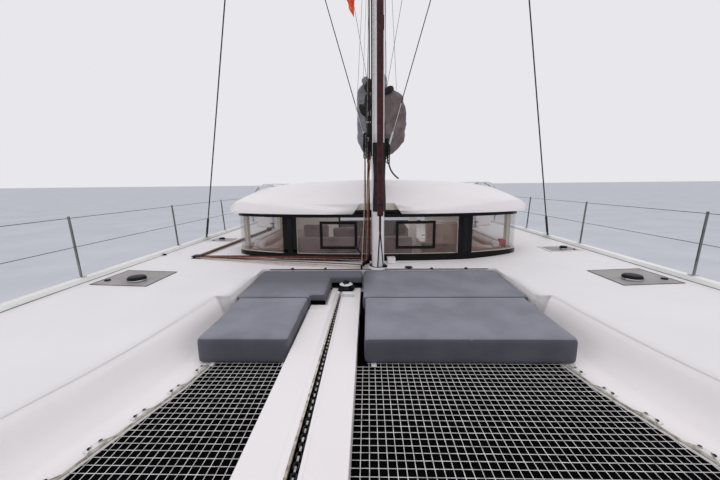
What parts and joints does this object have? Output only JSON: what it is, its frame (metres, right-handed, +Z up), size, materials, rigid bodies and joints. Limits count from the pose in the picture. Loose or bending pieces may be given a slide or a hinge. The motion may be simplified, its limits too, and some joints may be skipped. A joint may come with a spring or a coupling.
{
  "type": "sailing catamaran",
  "caption": "Cruising sailing catamaran with two decked hulls, bridge-deck cabin, domed roof, nets, sun cushions, mast with bagged mainsail, helms, keels and rudders.",
  "frame": {"origin": "on the centreline at the waterline, halfway between the stems and the transoms", "axes": "+X to port, +Y aft, +Z up the mast; z = 0 is the waterline"},
  "size_m": [7.0132, 11.98, 20.17],
  "materials": {
    "gelcoat": "polished white gelcoat",
    "antifouling": "matt dark antifouling paint",
    "anodised_aluminium": "satin anodised",
    "stainless_steel": "polished stainless steel",
    "bronze": "cast bronze, machined",
    "net_cord": "braided pale cord",
    "cushion_fabric": "grey outdoor fabric",
    "black_frame": "black coated frame",
    "grey_hatch": "grey acrylic lid",
    "window_glass": "clear acrylic",
    "upholstery": "woven upholstery",
    "joinery_wood": "oiled wood",
    "bag_canvas": "grey-brown acrylic canvas",
    "red_sock": "dark red woven sock",
    "sailcloth": "white sailcloth with a UV strip"
  },
  "bodies": {
    "root": {"hull_port": "gelcoat", "hull_starboard": "gelcoat", "bridge_deck": "gelcoat", "longeron": "gelcoat", "roof": "gelcoat", "helm_pedestal_port": "gelcoat", "helm_pedestal_starboard": "gelcoat", "helm_seat_port": "gelcoat", "helm_seat_starboard": "gelcoat", "keel_port": "antifouling", "keel_starboard": "antifouling", "crossbeam": "anodised_aluminium", "mast": "anodised_aluminium", "anchor_chain": "stainless_steel", "bow_roller": "stainless_steel", "anchor": "stainless_steel", "windlass": "stainless_steel", "roof_post_port": "stainless_steel", "roof_post_starboard": "stainless_steel", "rail_port": "stainless_steel", "rail_starboard": "stainless_steel", "trampoline_port": "net_cord", "trampoline_starboard": "net_cord", "cushion_port_fore": "cushion_fabric", "cushion_starboard_fore": "cushion_fabric", "cushion_port_aft": "cushion_fabric", "cushion_starboard_aft": "cushion_fabric", "cabin": "black_frame", "saildrive_port": "black_frame", "saildrive_starboard": "black_frame", "shroud_port": "black_frame", "shroud_starboard": "black_frame", "front_window_port": "window_glass", "corner_window_port": "window_glass", "side_window_port": "window_glass", "front_window_starboard": "window_glass", "corner_window_starboard": "window_glass", "side_window_starboard": "window_glass", "aft_window": "window_glass", "saloon_settee": "upholstery", "cockpit_bench": "upholstery", "saloon_table": "joinery_wood", "galley": "joinery_wood", "stowed_gennaker": "red_sock", "furled_genoa": "sailcloth"},
    "boom": {"boom": "anodised_aluminium", "sail_bag": "bag_canvas"},
    "saloon_door": {"saloon_door": "window_glass"},
    "rudder_port": {"rudder_port": "antifouling"},
    "helm_wheel_port": {"helm_wheel_port": "stainless_steel"},
    "propeller_port": {"propeller_port": "bronze"},
    "fore_hatch_port": {"fore_hatch_port": "grey_hatch"},
    "side_hatch_port": {"side_hatch_port": "grey_hatch"},
    "window_hatch_port": {"window_hatch_port": "black_frame"},
    "rudder_starboard": {"rudder_starboard": "antifouling"},
    "helm_wheel_starboard": {"helm_wheel_starboard": "stainless_steel"},
    "propeller_starboard": {"propeller_starboard": "bronze"},
    "fore_hatch_starboard": {"fore_hatch_starboard": "grey_hatch"},
    "side_hatch_starboard": {"side_hatch_starboard": "grey_hatch"},
    "window_hatch_starboard": {"window_hatch_starboard": "black_frame"}
  },
  "joints": [
    {"name": "boom_swing", "type": "hinge", "parent": "root", "child": "boom", "pos_m": [0, -0.222, 2.955], "axis": [0, 0, 1], "range_deg": [-52, 52]},
    {"name": "rudder_port_steer", "type": "hinge", "parent": "root", "child": "rudder_port", "pos_m": [2.6, 5.08, -0.3], "axis": [0, 0, 1], "range_deg": [-35, 35]},
    {"name": "helm_wheel_port_turn", "type": "hinge", "parent": "root", "child": "helm_wheel_port", "pos_m": [2.88, 4.05, 2.29], "axis": [0, -1, 0], "range_deg": [-420, 420]},
    {"name": "propeller_port_spin", "type": "hinge", "parent": "root", "child": "propeller_port", "pos_m": [2.6, 3.5, -0.88], "axis": [0, 1, 0], "continuous": true},
    {"name": "fore_hatch_port_lift", "type": "hinge", "parent": "root", "child": "fore_hatch_port", "pos_m": [2.64983, -1.09, 1.53342], "axis": [0, -1, 0], "range_deg": [0, 95]},
    {"name": "side_hatch_port_lift", "type": "hinge", "parent": "root", "child": "side_hatch_port", "pos_m": [2.80983, 0.57, 1.53898], "axis": [0, -1, 0], "range_deg": [0, 95]},
    {"name": "window_hatch_port_open", "type": "hinge", "parent": "root", "child": "window_hatch_port", "pos_m": [0.58, -0.015, 2.093], "axis": [-1, 0, 0], "range_deg": [0, 70]},
    {"name": "rudder_starboard_steer", "type": "hinge", "parent": "root", "child": "rudder_starboard", "pos_m": [-2.6, 5.08, -0.3], "axis": [0, 0, 1], "range_deg": [-35, 35]},
    {"name": "helm_wheel_starboard_turn", "type": "hinge", "parent": "root", "child": "helm_wheel_starboard", "pos_m": [-2.88, 4.05, 2.29], "axis": [0, -1, 0], "range_deg": [-420, 420]},
    {"name": "propeller_starboard_spin", "type": "hinge", "parent": "root", "child": "propeller_starboard", "pos_m": [-2.6, 3.5, -0.88], "axis": [0, 1, 0], "continuous": true},
    {"name": "fore_hatch_starboard_lift", "type": "hinge", "parent": "root", "child": "fore_hatch_starboard", "pos_m": [-2.64983, -1.09, 1.53342], "axis": [0, 1, 0], "range_deg": [0, 95]},
    {"name": "side_hatch_starboard_lift", "type": "hinge", "parent": "root", "child": "side_hatch_starboard", "pos_m": [-2.80983, 1.65, 1.53898], "axis": [0, 1, 0], "range_deg": [0, 95]},
    {"name": "window_hatch_starboard_open", "type": "hinge", "parent": "root", "child": "window_hatch_starboard", "pos_m": [-0.585, -0.015, 2.093], "axis": [-1, 0, 0], "range_deg": [0, 70]},
    {"name": "saloon_door_slide", "type": "slide", "parent": "root", "child": "saloon_door", "axis": [1, 0, 0], "range_m": [0, 0.87]}
  ],
  "couplings": [
    {"joint": "rudder_starboard_steer", "follows": "rudder_port_steer", "ratio": 1},
    {"joint": "helm_wheel_port_turn", "follows": "rudder_port_steer", "ratio": 12},
    {"joint": "helm_wheel_starboard_turn", "follows": "rudder_port_steer", "ratio": 12}
  ]
}
